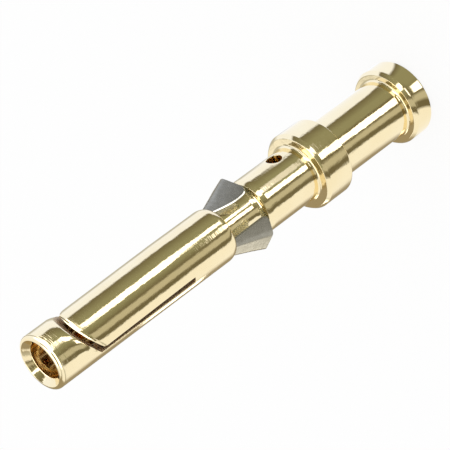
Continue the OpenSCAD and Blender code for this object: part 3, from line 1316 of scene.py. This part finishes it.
@dataclass
class Studio:
    """Pale floor, white surroundings and the cards that the metal mirrors."""

    floor_half: float = 2000.0
    floor_z: float = -0.02
    floor_white: float = 0.95
    floor_glow: float = 0.85
    card_inner_r: float = 0.3
    card_z: float = -0.01
    wall_r: float = 16.0
    wall_h: float = 23.0
    dome_r: float = 400.0

    CARD_SIDES = 180
    DOME_RISES = range(0, 90, 5)

    # Ends that rows share, behind the contact
    BACK_LEFT = ((-180, Tone.EDGE), (-150, Tone.EDGE), (-140, Tone.PAPER), (-94, Tone.PAPER))
    BACK_RIGHT = ((140, Tone.PAPER), (149, Tone.PAPER), (154, Tone.EDGE), (180, Tone.EDGE))

    # Rows of cards, from the contact outwards and up
    INNER = CardRow((
        (-180, Tone.SHADE), (-150, Tone.SHADE), (-128, Tone.PAPER), (-71.5, Tone.PAPER), (-66.5, Tone.UMBER),
        (-57, Tone.UMBER), (-51.5, Tone.TAN), (-43.5, Tone.TAN), (-39, Tone.UMBER), (-15, Tone.OLIVE),
        (8, Tone.OLIVE), (19, Tone.UMBER), (24, Tone.COOL), (130, Tone.COOL), (150, Tone.PAPER),
        (180, Tone.SHADE)))
    NEAR = CardRow((
        (-180, Tone.EDGE), (-152, Tone.EDGE), (-128, Tone.PAPER), (-83, Tone.PAPER), (-78, Tone.UMBER),
        (-66, Tone.UMBER), (-61, Tone.TAN), (-49.5, Tone.TAN), (-43, Tone.UMBER), (-16, Tone.UMBER),
        (-8, Tone.OLIVE), (10, Tone.OLIVE), (39, Tone.UMBER), (44, Tone.COOL), (124, Tone.COOL),
        (146, Tone.PAPER), (180, Tone.EDGE)))
    MIDDLE = CardRow((
        (-180, Tone.EDGE), (-160, Tone.EDGE), (-138, Tone.PAPER), (-87.5, Tone.PAPER), (-82.5, Tone.UMBER),
        (-70, Tone.UMBER), (-63, Tone.TAN), (-50, Tone.TAN), (-44, Tone.UMBER), (-14, Tone.OLIVE),
        (16, Tone.OLIVE), (42.5, Tone.UMBER), (47.5, Tone.COOL), (116, Tone.COOL), (130, Tone.SHADE),
        (150, Tone.SHADE), (180, Tone.EDGE)))
    FAR = CardRow((
        (-180, Tone.EDGE), (-160, Tone.EDGE), (-138, Tone.PAPER), (-88.5, Tone.PAPER), (-83.5, Tone.UMBER),
        (-71, Tone.UMBER), (-65, Tone.TAN), (-50, Tone.TAN), (-44.5, Tone.UMBER), (-24, Tone.OLIVE),
        (18, Tone.OLIVE), (54, Tone.UMBER), (60, Tone.COOL), (100, Tone.COOL), (112, Tone.SHADE),
        (134, Tone.SHADE), *BACK_RIGHT))
    RIM = CardRow((
        *BACK_LEFT, (-86, Tone.UMBER), (-20, Tone.OLIVE), (-16, Tone.LAMP), (30, Tone.LAMP),
        (36, Tone.OLIVE), (56, Tone.UMBER), (125, Tone.UMBER), *BACK_RIGHT))
    LOW_SKY = CardRow((*BACK_LEFT, (-80, Tone.LAMP), (60, Tone.LAMP), (75, Tone.COOL), *BACK_RIGHT))
    FACE = CardRow((
        (-180, Tone.EDGE), (-150, Tone.EDGE), (-122, Tone.SHADE), (-104, Tone.SHADE), (-92, Tone.GLOW),
        (-80, Tone.GLOW), (-64, Tone.OLIVE), (-20, Tone.OLIVE), (-15, Tone.LAMP), (50, Tone.LAMP),
        (62, Tone.COOL), *BACK_RIGHT))
    MID_SKY = CardRow((
        (-180, Tone.PAPER), (-94, Tone.PAPER), (-86, Tone.UMBER), (-63, Tone.TAN), (-47, Tone.UMBER),
        (-20, Tone.OLIVE), (-16, Tone.LAMP), (0, Tone.LAMP), (4, Tone.OLIVE), (56, Tone.UMBER),
        (68, Tone.COOL), (140, Tone.PAPER), (180, Tone.PAPER)))
    TOP_SKY = CardRow(((-180, Tone.LAMP), (180, Tone.LAMP)))

    # Near rows, where each blends into the next along the floor and up the wall, and the strips before them
    NEAR_ROWS = (INNER, NEAR, MIDDLE, FAR, FACE, RIM)
    NEAR_SPANS = ((3.15, 3.6), (8.0, 12.0), (13.0, 17.0), (33.9, 34.5), (36.2, 36.6))
    STRIPS = (
        CardStrip(first=-38.0, last=-23.0, start=2.1, end=3.15, end_soft=0.2),
        CardStrip(first=-40.0, last=-18.9, start=3.45, end=11.8, end_soft=0.2),
        CardStrip(first=-38.0, last=-19.6, start=9.4, end=22.6, end_soft=2.3),
        CardStrip(first=-14.0, last=10.7, start=13.2, end=19.0, side_soft=4.0, tone=Tone.GLOW),
        CardStrip(first=-11.6, last=2.8, start=17.2, end=33.9, end_soft=1.0),
        CardStrip(first=-18.0, last=4.8, start=22.5, end=33.9, end_soft=3.5),
        CardStrip(first=-170.0, last=-146.0, start=22.8, end=28.0, side_soft=6.0),
    )

    # Rows of the sky, and where each blends into the next, as angles above the floor
    SKY_ROWS = (LOW_SKY, FACE, MID_SKY, TOP_SKY)
    SKY_SPANS = ((34.5, 36.0), (46.0, 49.0), (65.0, 69.0))

    def sky(self) -> None:
        """Set a plain white world."""
        world = bpy.data.worlds.new("white_sky")
        bpy.context.scene.world = world
        world.use_nodes = True
        recipe = Recipe(world.node_tree)
        light = recipe.add("Background", {"Color": (1.0, 1.0, 1.0, 1.0), "Strength": 1.0})
        recipe.add("OutputWorld", {"Surface": light.outputs[0]})

    def floor(self) -> bpy.types.Object:
        """Build the floor, which is white to the eye and keeps the object's shadow.

        Returns:
            The mesh object.
        """
        half, z = self.floor_half, self.floor_z
        corners = [(-half, -half, z), (half, -half, z), (half, half, z), (-half, half, z)]
        floor = new_piece("floor", corners, [(0, 1, 2, 3)])
        material, recipe = Recipe.material("floor_paper")
        white = self.floor_white
        paper = recipe.add("BsdfDiffuse", {"Color": (white, white, white, 1.0)})
        glow = recipe.add("Emission", {"Color": (1.0, 1.0, 1.0, 1.0), "Strength": 1.0})
        path = recipe.add("LightPath").outputs
        seen = recipe.math("MAXIMUM", path["Is Camera Ray"], path["Is Glossy Ray"])
        seen = recipe.math("MAXIMUM", seen, path["Is Transmission Ray"])
        share = recipe.math("MULTIPLY", seen, self.floor_glow)
        mixed = recipe.add("MixShader", {0: share, 1: paper.outputs[0], 2: glow.outputs[0]})
        recipe.add("OutputMaterial", {"Surface": mixed.outputs[0]})
        floor.data.materials.append(material)
        return floor

    def card_material(self, name: str, rows: tuple[CardRow, ...], spans: tuple[Point, ...],
                      strips: tuple[CardStrip, ...] = (), by_rise: bool = False) -> bpy.types.Material:
        """Return rows of light and dark cards, one beyond the other.

        Args:
            name: Name of the material.
            rows: Rows, from the nearest.
            spans: Where each row blends into the next.
            strips: Strips in front of the rows.
            by_rise: Whether spans are angles above the floor, not lengths along it and up the wall.

        Returns:
            The glowing material.
        """
        material, recipe = Recipe.material(name)
        place = recipe.add("SeparateXYZ", {0: recipe.add("TexCoord").outputs["Object"]}).outputs
        angle = recipe.math("ARCTAN2", place[0], recipe.math("MULTIPLY", place[1], -1.0))
        turn = recipe.share(angle, -math.pi, math.pi)
        flat = recipe.add("CombineXYZ", {0: place[0], 1: place[1]}).outputs[0]
        away = recipe.add("VectorMath", {0: flat}, operation="LENGTH").outputs["Value"]
        measure = recipe.math("ARCTAN2" if by_rise else "ADD", place[2], away)
        unit = math.radians(1.0) if by_rise else MM
        colour, *others = [row.ramp(recipe, turn) for row in rows]
        for (low, high), beyond in zip(spans, others):
            colour = recipe.blend(recipe.share(measure, low * unit, high * unit), colour, beyond)
        for strip in strips:
            colour = strip.over(recipe, colour, angle, measure)
        glow = recipe.add("Emission", {"Color": colour, "Strength": 1.0})
        recipe.add("OutputMaterial", {"Surface": glow.outputs[0]})
        return material

    def card(self, name: str, profile: list[Point], material: bpy.types.Material) -> bpy.types.Object:
        """Build a card round the axis, which only the metal sees.

        Args:
            name: Name of the card.
            profile: Half section, as radius and height.
            material: Its glowing material.

        Returns:
            The mesh object.
        """
        count = self.CARD_SIDES
        angles = [math.tau * i / count for i in range(count)]
        vertices = [(r * math.sin(a), -r * math.cos(a), z) for r, z in profile for a in angles]
        faces = []
        for row in range(len(profile) - 1):
            low, high = row * count, (row + 1) * count
            for i in range(count):
                right = (i + 1) % count
                faces.append((low + i, low + right, high + right, high + i))
        card = new_piece(name, vertices, faces)
        card.data.materials.append(material)
        card.visible_camera = False
        card.visible_diffuse = False
        card.visible_shadow = False
        return card

    def cards(self) -> list[bpy.types.Object]:
        """Build the near cards on the floor and its low wall, and the sky beyond them.

        Returns:
            The mesh objects.
        """
        low, wall, dome = self.card_z, self.wall_r, self.dome_r
        near = self.card_material("near_cards", self.NEAR_ROWS, self.NEAR_SPANS, self.STRIPS)
        sky = self.card_material("sky_cards", self.SKY_ROWS, self.SKY_SPANS, by_rise=True)
        rises = [math.radians(rise) for rise in self.DOME_RISES]
        arch = [(dome * math.cos(rise), low + dome * math.sin(rise)) for rise in rises]
        return [
            self.card("near_cards", [(self.card_inner_r, low), (wall, low), (wall, self.wall_h)], near),
            self.card("sky_cards", [(wall, low), *arch], sky),
        ]

    def build(self) -> None:
        """Build the whole studio."""
        self.sky()
        self.floor()
        self.cards()


@dataclass
class PhotoCamera:
    """Camera at the photograph's viewing angle, rolled so that the contact lies slantwise."""

    frame_px: float = 450.0
    focal_px: float = 2263.64
    distance: float = 109.13
    aim_z: float = 13.175
    azimuth: float = -29.0
    elevation: float = 32.34
    axis_right: float = 0.80367
    axis_up: float = 0.59508
    aim_right_px: float = 0.96
    aim_down_px: float = 1.30
    sensor_w: float = 36.0
    clip_start: float = 1.0

    def build(self) -> None:
        """Add the camera and make it the scene's own."""
        turn, rise = math.radians(self.azimuth), math.radians(self.elevation)
        back = Vector((math.sin(turn) * math.cos(rise), -math.cos(turn) * math.cos(rise), math.sin(rise)))
        along = (Vector((0, 0, 1)) - back * back.z).normalized()
        across = back.cross(along)
        right = across * self.axis_up - along * self.axis_right
        up = -along * self.axis_up - across * self.axis_right
        px = self.distance / self.focal_px
        place = Vector((0, 0, self.aim_z)) + back * self.distance
        place += up * self.aim_down_px * px - right * self.aim_right_px * px
        data = bpy.data.cameras.new("photo_camera")
        data.sensor_width = self.sensor_w
        data.lens = self.focal_px / self.frame_px * self.sensor_w
        data.clip_start = self.clip_start * MM
        camera = bpy.data.objects.new("photo_camera", data)
        turned = Matrix((right, up, back)).transposed().to_4x4()
        camera.matrix_world = Matrix.Translation(place * MM) @ turned
        bpy.context.collection.objects.link(camera)
        bpy.context.scene.camera = camera


def main() -> None:
    """Build the contact, its studio and its camera."""
    logging.basicConfig(level=logging.INFO, format="%(name)s: %(message)s")
    scene = bpy.context.scene
    scene.view_settings.view_transform = "Standard"
    scene.cycles.max_bounces = scene.cycles.glossy_bounces = BOUNCES
    body = ContactBody()
    skin = body.build()
    # Bores: a slightly rougher plate whose darker, duller colour is painted shade inside the bores
    bore_plate_and_shade = GoldPlate(name="gold_bore_plate_and_shade", pale=(0.80, 0.665, 0.42), deep=(0.70, 0.575, 0.36),
                            roughness_low=0.07, roughness_high=0.12)
    # Saw cuts: rough sawn walls whose dark brown colour is painted shade in the narrow cuts
    sawn_plate_and_shade = GoldPlate(name="gold_sawn_plate_and_shade", pale=(0.60, 0.46, 0.30), deep=(0.50, 0.38, 0.24),
                            roughness_low=0.4, roughness_high=0.5)
    body.dress(skin, GoldPlate(), bore_plate_and_shade, sawn_plate_and_shade)
    log_piece(skin)
    clip = RetentionClip()
    sheet = clip.build()
    # Inner side: rougher steel whose much lighter colour is painted light, brightening its reflection in the
    # neck
    inner_painted_light = SpringSteel(name="dull_steel_painted_light", light=(0.80, 0.86, 0.88), dark=(0.72, 0.78, 0.80),
                               roughness_low=0.45, roughness_high=0.6)
    # Cut edges and the first lip: smoother steel whose much lighter colour is a painted highlight
    edge_highlight_steel = SpringSteel(name="steel_edge_highlight", light=(0.80, 0.78, 0.70), dark=(0.70, 0.68, 0.60),
                              roughness_low=0.1, roughness_high=0.16)
    clip.dress(sheet, SpringSteel(), inner_painted_light, edge_highlight_steel)
    log_piece(sheet)
    Studio().build()
    PhotoCamera().build()


if __name__ == "__main__":
    main()
